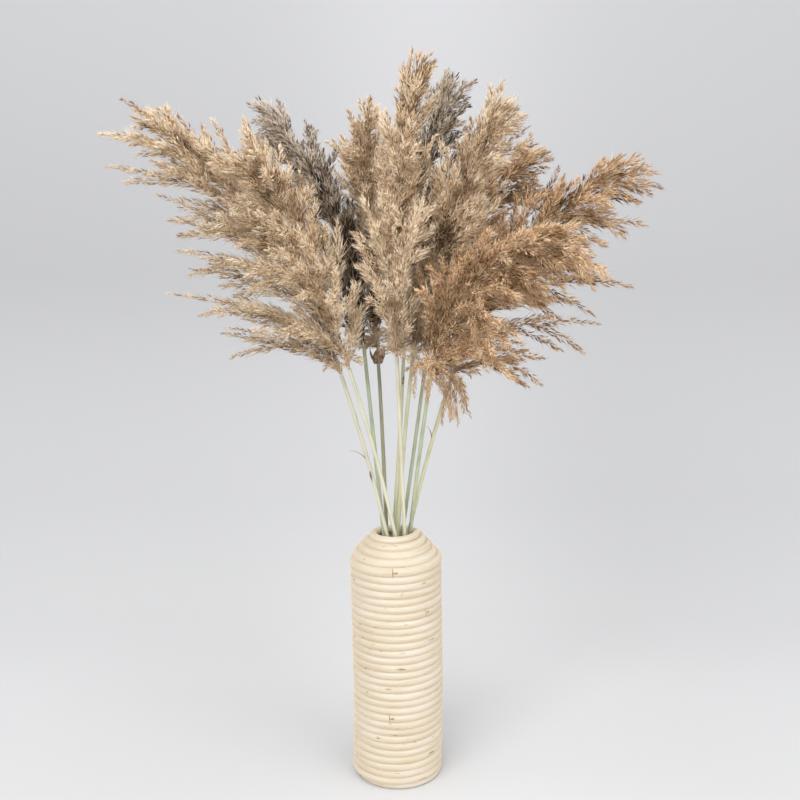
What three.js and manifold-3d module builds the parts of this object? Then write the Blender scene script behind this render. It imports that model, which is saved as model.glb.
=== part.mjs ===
// A bundle of dried pampas grass standing in a vase wound from round cane.
// Millimetres, +Z up. The origin is the centre of the vase's flat underside and -Y is the front.
// Each stem is a bare stalk with a feathery head on it, called a plume. A plume is a slim core
// along its axis with the plume's branches fused into it.
import * as THREE from "three";
import { mergeVertices } from "three/addons/utils/BufferGeometryUtils.js";
import Module from "manifold-3d";

const wasm = await Module();
wasm.setup();

// Vase: one cane wound round and round, straight at first and then drawn in to the mouth
const CANE = 8.5; // thickness of the cane, and the step from one turn to the next
const VASE_RADIUS = 51.5;
const BODY_TURNS = 31;
const SHOULDER_TURNS = 4;
const SHOULDER_LEAN = THREE.MathUtils.degToRad(41); // from upright, towards the mouth
const SHOULDER_STEP = 9.3; // between turns on the shoulder, where they don't lie as close
const GROOVE_RADIUS = 0.22 * CANE; // how far a groove's bottom stands out from the cane's middle
const VASE_SIDES = 20;

// Stalks: each passes the mouth on one side and stands on the vase's floor further round
const STALK_FOOT_RADIUS = 2.2;
const STALK_HEAD_RADIUS = 1.7;
const STALK_SIDES = 5;
const STALK_STEPS = 8;
const MOUTH_RING = 15; // distance of the stalks from the vase's axis in the mouth
const FOOT_RING = 36; // the same at the vase's floor
const MOUTH_TURN = THREE.MathUtils.degToRad(40); // round the axis from a stem's side to its place there
const FOOT_TURN = THREE.MathUtils.degToRad(150); // the same to its foot
const FIT_GAP = 0.3; // between faces that meet
const FOOT_LIFT = 0.8; // of the middle of a stalk's slanting cut end above the floor

// Plumes
const BRANCHES = 38;
const LAST_ROOT = 0.86; // share of the plume's length that has branches rooted on it
const BRANCH_LENGTH = { base: 130, tip: 46, fall: 0.9 };
const TIP_ANGLE = 18; // degrees from the plume's axis
const ANGLE_FALL = 0.6; // power that the angle falls with from the plume's foot to its tip
const ANGLE_SPREAD = 8; // degrees, from least to most
const LENGTH_SPREAD = [0.65, 1.15];
const BELOW = { wider: 0.12, longer: 0.15 }; // what branches below the axis have over the rest, as shares
const LOWEST = { length: 0.55, until: 0.14 }; // share of full length, and where it is full
const GOLDEN_ANGLE = Math.PI * (3 - Math.sqrt(5));
const ROOT_SPREAD = 0.9; // radians either way from the even spacing round the axis
const BRANCH_SIDES = 3;
const BRANCH_SHAPE = [
  // share of the branch's length, radius
  [0, 1.5],
  [0.58, 6.8],
  [1, 0],
];
const PLUME_GAP = { foot: 1, full: 14, until: 0.15 }; // kept between plumes, and the share where it is full
const CORE_SIDES = 5;
const CORE_PROFILE = [
  // share of the plume's length, radius
  [0.06, 4.5],
  [0.3, 6],
  [0.6, 4.5],
  [0.85, 4.5],
];
const CORE_END = 0.96;
const AXIS_STEPS = 24; // pieces that a stalk's and a plume's axis is measured in
const BEND_STEPS = 40; // tries at drawing a branch in towards its own axis

// Each stem: the side that its place in the mouth is counted from in degrees from +X, where its
// plume starts and ends, how many degrees its lowest branches stand out from its axis, how far
// its branches sag and how long they are.
const STEMS = [
  { side: 184, base: [-60, -5, 466], tip: [-250, -60, 738], open: 44, sag: 0.16, reach: 1.7 }, // far left
  // left front
  { side: 224, base: [-50, -40, 480], tip: [-142, -110, 709], open: 45, sag: 0.25, reach: 1.4 },
  { side: 144, base: [-36, 12, 494], tip: [-160, 105, 768], open: 50, sag: 0.3, reach: 1.25 }, // left back
  { side: 104, base: [-22, 45, 486], tip: [-34, 20, 742], open: 38, sag: 0.25, reach: 1.5 }, // back left
  { side: 264, base: [0, -45, 494], tip: [20, -90, 800], open: 20, sag: 0.25, reach: 1 }, // front
  { side: 64, base: [8, 50, 496], tip: [68, 110, 797], open: 50, sag: 0.3, reach: 1.35 }, // back
  // right, through the middle of the mouth
  { side: 344, ring: 1, base: [17, -16, 488], tip: [113, -22, 758], open: 30, sag: 0.2, reach: 1.25 },
  { side: 24, base: [32, 36, 476], tip: [158, 120, 708], open: 58, sag: 0.3, reach: 1.45 }, // right back
  { side: 344, base: [57, 0, 458], tip: [256, -20, 700], open: 52, sag: 0.28, reach: 1.35 }, // far right
  // right front
  { side: 304, base: [35, -46, 472], tip: [170, -160, 632], open: 45, sag: 0.4, reach: 1.3 },
];

const CANE_FINISH = new THREE.MeshStandardMaterial({ color: "#ece0cc", roughness: 0.6, metalness: 0 });
const STALK_FINISH = new THREE.MeshStandardMaterial({ color: "#cdcf9f", roughness: 0.5, metalness: 0 });
const PLUME_FINISH = new THREE.MeshStandardMaterial({ color: "#a99278", roughness: 0.9, metalness: 0 });

// Solids

function toSolid(geometry) {
  geometry.deleteAttribute("normal");
  geometry.deleteAttribute("uv");
  const merged = mergeVertices(geometry, 1e-4);
  const mesh = new wasm.Mesh({
    numProp: 3,
    vertProperties: new Float32Array(merged.attributes.position.array),
    triVerts: new Uint32Array(merged.index.array),
  });
  return new wasm.Manifold(mesh);
}

function toGeometry(solid) {
  const mesh = solid.getMesh();
  const geometry = new THREE.BufferGeometry();
  geometry.setAttribute("position", new THREE.BufferAttribute(mesh.vertProperties, 3));
  geometry.setIndex(new THREE.BufferAttribute(mesh.triVerts, 1));
  geometry.computeVertexNormals();
  return geometry;
}

// The outer skin of the largest body: scraps are dropped and sealed hollows are filled.
function largest(solid) {
  return solid.decompose().reduce((best, body) => (body.volume() > best.volume() ? body : best));
}

function piece(name, solid, material) {
  const mesh = new THREE.Mesh(toGeometry(solid), material);
  mesh.name = name;
  return mesh;
}

// A number from 0 to 1 that looks random and is the same on every run.
function noise(a, b) {
  const value = Math.sin(a * 127.1 + b * 311.7) * 43758.5453;
  return value - Math.floor(value);
}

const { lerp } = THREE.MathUtils;

// Vase

// Middle of the cane in each turn, as radius and height, and the outward normal there.
function turns() {
  const list = [];
  let radius = VASE_RADIUS - CANE / 2;
  let height = CANE / 2;
  for (let i = 0; i < BODY_TURNS + SHOULDER_TURNS; i++) {
    const lean = i < BODY_TURNS ? 0 : SHOULDER_LEAN;
    const step = i < BODY_TURNS ? CANE : SHOULDER_STEP;
    if (i > 0) {
      radius -= step * Math.sin(lean);
      height += step * Math.cos(lean);
    }
    const out = new THREE.Vector2(Math.cos(lean), Math.sin(lean));
    list.push({ at: new THREE.Vector2(radius, height), out });
  }
  return list;
}

function vase() {
  const wound = turns();
  const top = wound.at(-1);
  const profile = [new THREE.Vector2(0, 0), new THREE.Vector2(VASE_RADIUS - CANE / 2, 0)];
  wound.forEach((turn, i) => {
    profile.push(turn.at.clone().addScaledVector(turn.out, CANE / 2));
    const next = wound[i + 1];
    if (next) {
      const groove = turn.at.clone().lerp(next.at, 0.5);
      profile.push(groove.addScaledVector(next.out, GROOVE_RADIUS));
    }
  });
  profile.push(new THREE.Vector2(top.at.x, top.at.y + CANE / 2));
  const inside = wound.filter((turn, i) => i === 0 || i >= BODY_TURNS - 1).reverse();
  for (const turn of inside) {
    profile.push(turn.at.clone().addScaledVector(turn.out, -CANE / 2));
  }
  profile.at(-1).y = CANE;
  profile.push(new THREE.Vector2(0, CANE));
  return toSolid(new THREE.LatheGeometry(profile, VASE_SIDES).rotateX(Math.PI / 2));
}

// Stems

// A round bar of changing thickness along a curve. Its profile is a list of [share of the
// curve, radius], and it is closed on its axis at both ends.
function bar(curve, profile, sides) {
  const first = profile[0];
  const last = profile.at(-1);
  const outline = [[first[0], 0], ...profile, [last[0], 0]]
    .filter(([share, radius], i, all) => i === 0 || share !== all[i - 1][0] || radius !== all[i - 1][1])
    .map(([share, radius]) => new THREE.Vector2(radius, share));
  const geometry = new THREE.LatheGeometry(outline, sides);
  const chord = curve.getPoint(1).sub(curve.getPoint(0)).normalize();
  const size = [Math.abs(chord.x), Math.abs(chord.y), Math.abs(chord.z)];
  const across = new THREE.Vector3().setComponent(size.indexOf(Math.min(...size)), 1);
  const position = geometry.attributes.position;
  for (let i = 0; i < position.count; i++) {
    const share = position.getY(i);
    const ahead = curve.getTangent(share);
    const side = new THREE.Vector3().crossVectors(ahead, across).normalize();
    const up = new THREE.Vector3().crossVectors(side, ahead);
    const point = curve.getPoint(share);
    point.addScaledVector(side, position.getX(i)).addScaledVector(up, position.getZ(i));
    position.setXYZ(i, point.x, point.y, point.z);
  }
  return toSolid(geometry);
}

function onRing(radius, angle, height) {
  return new THREE.Vector3(radius * Math.cos(angle), radius * Math.sin(angle), height);
}

// A stalk's axis is the even curve through its foot, its place in the mouth and its head.
function stalkAxis(stem) {
  const side = THREE.MathUtils.degToRad(stem.side);
  const ring = stem.ring ?? MOUTH_RING;
  const footRing = (ring / MOUTH_RING) * FOOT_RING;
  const mouthHeight = turns().at(-1).at.y;
  const foot = onRing(footRing, side + FOOT_TURN, CANE + FOOT_LIFT);
  const mouth = onRing(ring, side + MOUTH_TURN, mouthHeight);
  const head = new THREE.Vector3(...stem.base);
  const t = (mouth.z - foot.z) / (head.z - foot.z);
  const bend = mouth.clone().addScaledVector(foot, -((1 - t) ** 2)).addScaledVector(head, -(t ** 2));
  bend.divideScalar(2 * t * (1 - t));
  return new THREE.QuadraticBezierCurve3(foot, bend, head);
}

// A plume's axis leaves its stalk in line with it and then leans over to its tip.
function plumeAxis(stem, stalk) {
  const base = new THREE.Vector3(...stem.base);
  const tip = new THREE.Vector3(...stem.tip);
  const bend = base.clone().addScaledVector(stalk.getTangent(1), base.distanceTo(tip) / 2);
  return new THREE.QuadraticBezierCurve3(base, bend, tip);
}

function nearest(points, to) {
  return points.reduce((best, p) => (p.distanceToSquared(to) < best.distanceToSquared(to) ? p : best));
}

const stems = STEMS.map((stem, i) => {
  const stalk = stalkAxis(stem);
  const plume = plumeAxis(stem, stalk);
  const line = [...stalk.getPoints(AXIS_STEPS), ...plume.getPoints(AXIS_STEPS)];
  return { ...stem, number: i + 1, stalk, plume, line };
});

// Draws a point in towards its own stem's axis until a ball of this radius round it is nearer
// to that axis than to any other stem's, so that no branch enters another plume.
function keepClear(point, radius, gap, stem) {
  const home = nearest(stem.line, point);
  const others = stems.filter((other) => other !== stem);
  for (let i = 0; i < BEND_STEPS; i++) {
    const moved = home.clone().lerp(point, 1 - i / BEND_STEPS);
    const own = nearest(stem.line, moved).distanceTo(moved);
    const other = Math.min(...others.map((o) => nearest(o.line, moved).distanceTo(moved)));
    if (other - own > 2 * radius + gap) return moved;
  }
  return home;
}

// Points along a branch, one for each of its thicknesses.
function branchPath(stem, k) {
  const share = (k + 0.5) / BRANCHES;
  const root = stem.plume.getPoint(LAST_ROOT * share);
  const ahead = stem.plume.getTangent(LAST_ROOT * share);
  const side = new THREE.Vector3(-ahead.y, ahead.x, 0).normalize();
  const below = new THREE.Vector3().crossVectors(side, ahead);
  const turn = k * GOLDEN_ANGLE + ROOT_SPREAD * (2 * noise(k, stem.number) - 1);
  const spread = ANGLE_SPREAD * (noise(k + 0.5, stem.number) - 0.5);
  const even = THREE.MathUtils.degToRad(lerp(stem.open, TIP_ANGLE, share ** ANGLE_FALL) + spread);
  const angle = even * (1 + BELOW.wider * Math.sin(turn));
  const full = lerp(BRANCH_LENGTH.base, BRANCH_LENGTH.tip, share ** BRANCH_LENGTH.fall);
  const draw = lerp(...LENGTH_SPREAD, noise(k, stem.number + 0.5));
  const grown = lerp(LOWEST.length, 1, Math.min(share / LOWEST.until, 1));
  const length = stem.reach * full * grown * draw * (1 + BELOW.longer * Math.sin(turn));
  const way = ahead.clone().multiplyScalar(Math.cos(angle));
  way.addScaledVector(side, Math.sin(angle) * Math.cos(turn));
  way.addScaledVector(below, Math.sin(angle) * Math.sin(turn));
  const gap = lerp(PLUME_GAP.foot, PLUME_GAP.full, Math.min(share / PLUME_GAP.until, 1));
  const drop = stem.sag * length * Math.hypot(way.x, way.y);
  return BRANCH_SHAPE.map(([along, radius]) => {
    const point = root.clone().addScaledVector(way, along * length);
    point.z -= drop * along ** 2;
    return along === 0 ? point : keepClear(point, radius, gap, stem);
  });
}

function branch(stem, k) {
  const path = new THREE.CatmullRomCurve3(branchPath(stem, k));
  const profile = BRANCH_SHAPE.map(([, radius], i) => [i / (BRANCH_SHAPE.length - 1), radius]);
  return bar(path, profile, BRANCH_SIDES);
}

function plume(stem) {
  const start = FIT_GAP / stem.plume.getLength();
  const profile = [[start, STALK_HEAD_RADIUS], ...CORE_PROFILE, [CORE_END, 0]];
  const parts = [bar(stem.plume, profile, CORE_SIDES)];
  for (let k = 0; k < BRANCHES; k++) {
    parts.push(branch(stem, k));
  }
  return largest(wasm.Manifold.union(parts));
}

function stalk(stem) {
  const profile = [];
  for (let i = 0; i <= STALK_STEPS; i++) {
    const share = i / STALK_STEPS;
    profile.push([share, lerp(STALK_FOOT_RADIUS, STALK_HEAD_RADIUS, share)]);
  }
  return bar(stem.stalk, profile, STALK_SIDES);
}

const bundle = new THREE.Group();
bundle.name = "pampas_grass_bundle";
bundle.add(piece("vase", vase(), CANE_FINISH));
for (const stem of stems) {
  const number = String(stem.number).padStart(2, "0");
  bundle.add(piece(`stalk_${number}`, stalk(stem), STALK_FINISH));
  bundle.add(piece(`plume_${number}`, plume(stem), PLUME_FINISH));
}

export default bundle;
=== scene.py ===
"""Dried pampas grass in a vase wound from round cane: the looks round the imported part.

Sizes are in millimetres until they become mesh points, which are in metres. -Y is the front.
"""

import math

import bpy
import numpy as np
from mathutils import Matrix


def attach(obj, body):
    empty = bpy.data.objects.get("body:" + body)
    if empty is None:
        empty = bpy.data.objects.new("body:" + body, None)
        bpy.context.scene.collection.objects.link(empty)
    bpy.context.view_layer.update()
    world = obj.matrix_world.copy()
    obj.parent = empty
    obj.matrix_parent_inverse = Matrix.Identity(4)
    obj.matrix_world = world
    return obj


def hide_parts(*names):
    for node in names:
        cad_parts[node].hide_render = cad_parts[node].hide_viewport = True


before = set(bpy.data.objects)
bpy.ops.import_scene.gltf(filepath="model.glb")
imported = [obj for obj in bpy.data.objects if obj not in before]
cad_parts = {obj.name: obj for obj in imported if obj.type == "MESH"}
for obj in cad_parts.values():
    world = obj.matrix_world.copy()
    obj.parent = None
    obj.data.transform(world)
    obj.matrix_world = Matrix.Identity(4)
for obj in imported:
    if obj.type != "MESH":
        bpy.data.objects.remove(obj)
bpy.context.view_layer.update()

MM = 0.001

# Vase, as in the part
CANE = 8.5
VASE_RADIUS = 51.5
BODY_TURNS = 31
SHOULDER_TURNS = 4
SHOULDER_LEAN = math.radians(41)
SHOULDER_STEP = 9.3  # between turns on the shoulder, where they don't lie as close
WOUND_RADIUS = VASE_RADIUS - CANE / 2

# How the cane is wound in the look
FLOOR_TURNS = 5
STEPS_A_TURN = 60
CANE_SIDES = 10
CANE_FIT = 1.35  # thickness that shuts the cracks between turns, as a share of the cane's own
CANE_UNEVEN = 0.35  # how far a turn wanders in and out
CANE_SWINGS = ((0.37, 0), (0.91, 2), (1.73, 1))  # waves a turn and where they start, in and out
CANE_LIFTS = 1.31  # waves a turn, up and down
CANE_THIN = 0.025  # share by which the cane thins and thickens
CANE_THIN_WAVES = 2.3  # a turn
SWAY = 1.3  # how far the wall stands aside, to the right low down and to the left further up
SWAY_HEIGHT = 340  # over which it goes out, back and out again
CANE_JOINTS = [3.3, 9.72, 16.18, 23.86, 29.74]  # in turns from the foot, where one cane ends
JOINT_GAP = 0.2
LAST_TURN = BODY_TURNS - 1 + SHOULDER_TURNS

# Stalks, as in the part
STALK_FOOT_RADIUS = 2.2
STALK_HEAD_RADIUS = 1.7
MOUTH_RING = 15
FOOT_RING = 36
MOUTH_TURN = math.radians(40)
FOOT_TURN = math.radians(150)
FOOT_LIFT = 0.8

# Stalks in the look
STALK_STEPS = 90
STALK_END = 0.999  # share of the stalk's curve that is drawn
STALK_SIDES = 10
JOINT_EVERY = 128  # between the culm's joints
JOINT_SWELL = 0.2
JOINT_LENGTH = 2.2
SHEATH = 1.15  # thickness with the leaf sheath that still wraps the culm, as a share

# Withered leaves left on the stalks: stem, share of the stalk, turn from +X, length, width, lean, curl
WITHERED_LEAVES = [
    (4, 0.968, 270, 21, 12, 32, -22),
    (4, 0.97, 190, 20, 11, 30, -16),
    (4, 0.972, 350, 18, 10, 32, -20),
    (1, 0.8, 200, 22, 2.6, 24, 55),
    (1, 0.77, 250, 14, 2.2, 150, 55),
    (8, 0.93, 350, 13, 2.8, 30, 55),
    (9, 0.86, 200, 16, 2.2, 16, 55),
    (6, 0.9, 280, 15, 2.2, 20, 40),
]
LEAF_STEPS = 7
LEAF_THICK = 0.35
LEAF_START = 0.18  # how far into its widening a leaf starts, as a share
LEAF_FULLNESS = 0.7  # lower is fuller
LEAF_TIP = 0.02  # half width left at the tip, as a share
LEAF_CUP = 0.35
LEAF_SECTION = ((1, 0), (0.5, 1), (-0.5, 1), (-1, 0), (-0.5, -1), (0.5, -1))  # across, and through

# Plumes, as in the part
BRANCHES = 38
LAST_ROOT = 0.86
BRANCH_LENGTH = (130, 46)
LENGTH_FALL = 0.9
TIP_ANGLE = 18
ANGLE_FALL = 0.6
ANGLE_SPREAD = 8
LENGTH_SPREAD = (0.65, 1.15)
LOWEST = (0.55, 0.14)  # length of the lowest branches, and how far up the plume they grow longer, as shares
BELOW = (0.12, 0.15)  # how much wider and longer branches are on the lower side, as shares
GOLDEN_ANGLE = math.pi * (3 - math.sqrt(5))
ROOT_SPREAD = 0.9
BRANCH_SHAPE = ((0, 1.5), (0.58, 6.8), (1, 0))
PLUME_GAP = (1, 14)  # between two plumes, at their feet and from FULL_GAP of the way up
FULL_GAP = 0.15
AXIS_STEPS = 24
BEND_STEPS = 40

# Plumes in the look: each branch has side branches, and all of them carry spikelets and silk
SIDE_ROOTS = (0.14, 0.3, 0.46)
SIDE_ANGLE = math.radians(21)
SIDE_LENGTH = 0.5
SIDE_SHORTER = 0.4  # how much shorter a side branch is towards the tip, as a share
ASKEW = (0.3, 0.2, 1)  # a direction that branches don't run along
SIDE_FROM = 0.5  # how far along its branch a side branch counts as starting, for its shade
PATH_POINTS = 9
WANDER = 1.6
GIRTH = 6.9  # half the width of a branch with its spikelets
GIRTH_UNEVEN = (0.55, 1.25)
GIRTH_ROOT = 0.3  # share of the half width at the root
GIRTH_RISE = 2.4  # how fast it widens from there
GIRTH_FALL = (2.6, 0.6)  # powers that round the tip off
LEAST_PLUMP = 0.55  # size of a bristle where the branch has no girth left
SIDE_GIRTH = 0.85
TWIG_RADIUS = 0.45
TWIG_TAPER = 0.35
AXIS_POINTS = 30
AXIS_START = 0.002
AXIS_END = 0.96
AXIS_SHADE = 0.6
AXIS_GIRTH = ((0, 2.5), (0.7, 3), (0.85, 8), (1, 5))  # share of the length, half width
SPIKELET = {"Points": 3, "Spacing": 1.15, "Length": 9, "Thickness": 2.2, "Belly": 0.42, "Scatter": 0.66}
SPIKELET_LEAN = (6, 28)
SILK = {"Points": 2, "Spacing": 0.85, "Length": 12, "Thickness": 0.85, "Belly": 0, "Scatter": 0.8}
SILK_LEAN = (10, 44)
BRISTLE_SIZE = (0.7, 1.25)
BRISTLE_SHADE = 0.1  # how much a bristle's shade strays from its branch's

# Short branches that fill a plume out: their length and half width, how far up it they root, the way
# that they go from +X and how widely, their course out and down as shares of the length, and shade
WISP = dict(
    length=(34, 62), girth=3.6, up=(0, 0.05), side=-50, spread=140,
    out=0.42, down=(0.1, 0.75), shade=1,
)
TUFT = dict(
    length=(22, 40), girth=5, up=(0, 0.08), side=0, spread=360,
    out=0.75, down=(-0.45, 0.5), shade=0.8,
)
FRINGE = dict(
    length=(50, 150), girth=4.5, up=(0, 0.1), side=188, spread=60,
    out=0.88, down=(-0.68, 0.28), shade=0.7,
)
SKIRT = dict(
    length=(50, 135), girth=4.5, up=(0, 0.1), side=-12, spread=60,
    out=0.88, down=(-0.62, 0.34), shade=0.62,
)
# These two are dark, painted shade: deep inside a plume, and as a gap on a plume's front
SHADE_FILL = dict(
    length=(45, 75), girth=6, up=(0, 0.55), side=0, spread=360,
    out=0.25, down=(-1, 0.1), shade=0.05,
)
SHADOW = dict(
    length=(46, 68), girth=5.5, up=(0.3, 0.48), side=275, spread=80,
    out=0.72, down=(-0.5, 0), shade=-0.05,
)

CLUMP = 12  # distance between clumps of bristles
CLUMP_EDGE = (0.36, 0.64)  # noise at which a clump starts and is full
# Painted light on the clumps and painted shade in the gaps between them
CLUMP_SHADE = 0.6  # how much paler a clump is than what lies between
CLUMP_SIZE = (0.85, 1.15)
CLUMP_SHARE = (0.75, 1)  # share of the bristles that grow between clumps and in them
# Painted shade deep inside a plume: a branch is darker towards its root, with some real darker colour there
# too
ROOT_SHADE = 0.22  # how much darker a branch is at its root
ROOT_SHADE_FALL = 1.5
OWN_SHADES = (0.12, 0.4, 0.14, 0.3)  # least, then what a branch, a side branch and a lump on it add
SHADE_RANGE = (0.3, 0.7)  # least shade, and how much the branch's own adds

STEMS = [
    dict(side=184, base=(-60, -5, 466), tip=(-250, -60, 738), open=44, sag=0.16, reach=1.7),
    dict(side=224, base=(-50, -40, 480), tip=(-142, -110, 709), open=45, sag=0.25, reach=1.4),
    dict(side=144, base=(-36, 12, 494), tip=(-160, 105, 768), open=50, sag=0.3, reach=1.25),
    dict(side=104, base=(-22, 45, 486), tip=(-34, 20, 742), open=38, sag=0.25, reach=1.5),
    dict(side=264, base=(0, -45, 494), tip=(20, -90, 800), open=20, sag=0.25, reach=1),
    dict(side=64, base=(8, 50, 496), tip=(68, 110, 797), open=50, sag=0.3, reach=1.35),
    dict(side=344, ring=1, base=(17, -16, 488), tip=(113, -22, 758), open=30, sag=0.2, reach=1.25),
    dict(side=24, base=(32, 36, 476), tip=(158, 120, 708), open=58, sag=0.3, reach=1.45),
    dict(side=344, base=(57, 0, 458), tip=(256, -20, 700), open=52, sag=0.28, reach=1.35),
    dict(side=304, base=(35, -46, 472), tip=(170, -160, 632), open=45, sag=0.4, reach=1.3),
]

# Each stem's looks: plume, how much painted shade darkens it at its foot and at its tip (below nothing,
# painted light pales it), with some real change of colour along it, stalk, short branches
LOOKS = [
    dict(tone="straw", dim=(0, -0.05), culm="pale", short=[(FRINGE, 9)]),
    dict(tone="straw", dim=(-0.2, -0.05), culm="pale", short=[(TUFT, 4), (FRINGE, 6)]),
    dict(tone="weathered", dim=(0.65, -0.12), culm="green", short=[(SHADE_FILL, 14)]),
    dict(tone="straw", dim=(0.05, 0), culm="olive", short=[(TUFT, 12)]),
    dict(tone="straw", dim=(-0.3, 0.15), culm="pale", short=[(TUFT, 12)]),
    dict(tone="weathered", dim=(0.6, 0.2), culm="straw", short=[]),
    dict(tone="straw", dim=(0, 0.15), culm="straw", short=[(WISP, 2), (TUFT, 10), (SHADOW, 11)]),
    dict(tone="ripe", dim=(0.08, 0.12), culm="green", short=[]),
    dict(tone="ripe", dim=(0.12, 0.05), culm="straw", short=[(WISP, 6), (TUFT, 4)]),
    dict(tone="ripe", dim=(-0.08, -0.05), culm="green", short=[(WISP, 4), (TUFT, 4), (SKIRT, 8)]),
]

# Colours of spikelets and silk from deepest to palest, and of culms, pale and dark
PLUME_COLOURS = {
    "straw_plume": ("#4e3b29", "#ae8f6c", "#dec5a4", "#f6e7d0"),
    "weathered_plume": ("#3c3128", "#85715d", "#bba891", "#e0d4c6"),
    "ripe_plume": ("#4a3320", "#99754f", "#cfa982", "#efd5b2"),
    "straw_silk": ("#725b41", "#cfb392", "#ead7ba", "#f7ead4"),
    "weathered_silk": ("#5c4c3e", "#bba891", "#e0d4c6", "#f0e8de"),
    "ripe_silk": ("#6c4e32", "#c19b74", "#e2c7a3", "#f2dfc2"),
}
MIDDLE_TONES = (0.3, 0.65)  # shades at which a plume has its two middle colours
GLOW = 0.5  # share of light that comes through spikelets and silk
TWIG_COLOURS = ("#c8b48e", "#9a8258")
CULM_COLOURS = {
    "pale_culm": ("#bebba4", "#a29e80"),
    "straw_culm": ("#b9b896", "#97946f"),
    "green_culm": ("#a0a68a", "#747c60"),
    "olive_culm": ("#8d8b6c", "#5f5c43"),
}

# Patterns in the finishes: their size, and how little they change along the cane or culm
CULM_STREAK = (0.5, 0.02)  # real streaks are about 0.1 wide, too fine to show
CULM_PATCH = 40
CANE_FIBRE = (0.9, 0.03)  # real fibres are about 0.3 wide, too fine to show
CANE_STAIN = 90
CANE_SCAR = (4, 0.3)
SCAR_EDGE = (0.7, 0.78)  # noise at which a scar starts and is full
LEAF_BLOTCH = 3

# Stage, light and camera, in metres and watts
# Painted shade: the paper's tones darken as it goes back and up, where less light falls
PAPER_REACH = (0.15, 2.15)  # how far back and up the paper's tones go
PAPER_ENDS = ("#b4b4b4", "#9e9ea0")
PAPER_TONES = {
    0.04: "#b4b4b4",
    0.1: "#b2b2b2",
    0.14: "#aeaeae",
    0.22: "#a8a8a8",
    0.32: "#a3a3a4",
    0.5: "#a2a2a3",
}
# A painted pool of light on the paper, palest in the middle behind the vase
LIGHT_POOL_MIDDLE = 0.06  # where the paper is palest, from side to side
LIGHT_POOL_REACH = 0.16
LIGHT_POOL_GAIN = 0.13  # how much paler, as a share
SWEEP_FRONT = -4.0
SWEEP_BACK = 0.35
SWEEP_BEND = 0.5
SWEEP_STEPS = 12
SWEEP_TOP = 4.0
SWEEP_HALF = 5
SKY = "#f4f5f8"
SKY_STRENGTH = 1.15
LAMPS = {  # place, aim, size, watts
    "key": ((-0.8, -1.9, 1.9), (0, 0, 0.5), (2.0, 1.6), 52),
    "fill": ((1.6, -1.6, 1.0), (0, 0, 0.5), (1.8, 1.8), 22),
    "overhead": ((0.0, -0.2, 2.6), (0, 0, 0), (2.4, 1.8), 34),
}
CAMERA_PLACE = (0.0032, -1.120, 0.668)
CAMERA_DOWN = math.radians(11.62)
CAMERA_LENS = 47.385
CAMERA_SENSOR = 36


# Helpers


def linear(hex_colour):
    """An sRGB hex colour as the linear RGBA that shaders read."""
    parts = [int(hex_colour[i : i + 2], 16) / 255 for i in (1, 3, 5)]
    return [p / 12.92 if p <= 0.04045 else ((p + 0.055) / 1.055) ** 2.4 for p in parts] + [1]


def add(tree, kind, inputs=None, **settings):
    """A node with its settings, and its inputs set to values or linked to sockets."""
    node = tree.nodes.new(kind)
    for key, value in settings.items():
        setattr(node, key, value)
    for key, value in (inputs or {}).items():
        if isinstance(value, bpy.types.NodeSocket):
            tree.links.new(value, node.inputs[key])
        else:
            node.inputs[key].default_value = value
    return node


def geometry_tree(name, sockets):
    """A geometry tree with these inputs, its input node and its output node."""
    tree = bpy.data.node_groups.new(name, "GeometryNodeTree")
    tree.interface.new_socket("Geometry", in_out="OUTPUT", socket_type="NodeSocketGeometry")
    for label, kind in sockets.items():
        tree.interface.new_socket(label, in_out="INPUT", socket_type=f"NodeSocket{kind}")
    return tree, tree.nodes.new("NodeGroupInput").outputs, tree.nodes.new("NodeGroupOutput").inputs


def noise(a, b):
    """A number from 0 to 1 that looks random and is the same on every run, as in the part."""
    value = math.sin(a * 127.1 + b * 311.7) * 43758.5453
    return value - math.floor(value)


def lerp(a, b, t):
    """The value that lies this share of the way from a to b."""
    return a + (b - a) * t


def unit(vector):
    """The direction of a vector."""
    return vector / np.linalg.norm(vector)


def polylines(name, lines, attributes):
    """A mesh of bare edges, one run for each line of points in millimetres, with its numbers."""
    mesh = bpy.data.meshes.new(name)
    edges = []
    start = 0
    for line in lines:
        edges += [(start + i, start + i + 1) for i in range(len(line) - 1)]
        start += len(line)
    mesh.from_pydata(np.concatenate(lines) * MM, edges, [])
    for key, values in attributes.items():
        layer = mesh.attributes.new(key, "FLOAT", "POINT")
        layer.data.foreach_set("value", np.concatenate(values).astype(np.float32))
    return mesh


def grown(name, mesh, tree, values):
    """A piece that a geometry tree grows from a mesh of edges, as a plain mesh."""
    source = bpy.data.objects.new(name + "_lines", mesh)
    bpy.context.collection.objects.link(source)
    modifier = source.modifiers.new("grow", "NODES")
    modifier.node_group = tree
    for item in tree.interface.items_tree:
        if item.name in values:
            modifier[item.identifier] = values[item.name]
    depsgraph = bpy.context.evaluated_depsgraph_get()
    result = bpy.data.meshes.new_from_object(source.evaluated_get(depsgraph))
    piece = bpy.data.objects.new(name, result)
    bpy.context.collection.objects.link(piece)
    bpy.data.objects.remove(source)
    bpy.data.meshes.remove(mesh)
    return piece


# Geometry trees


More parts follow.
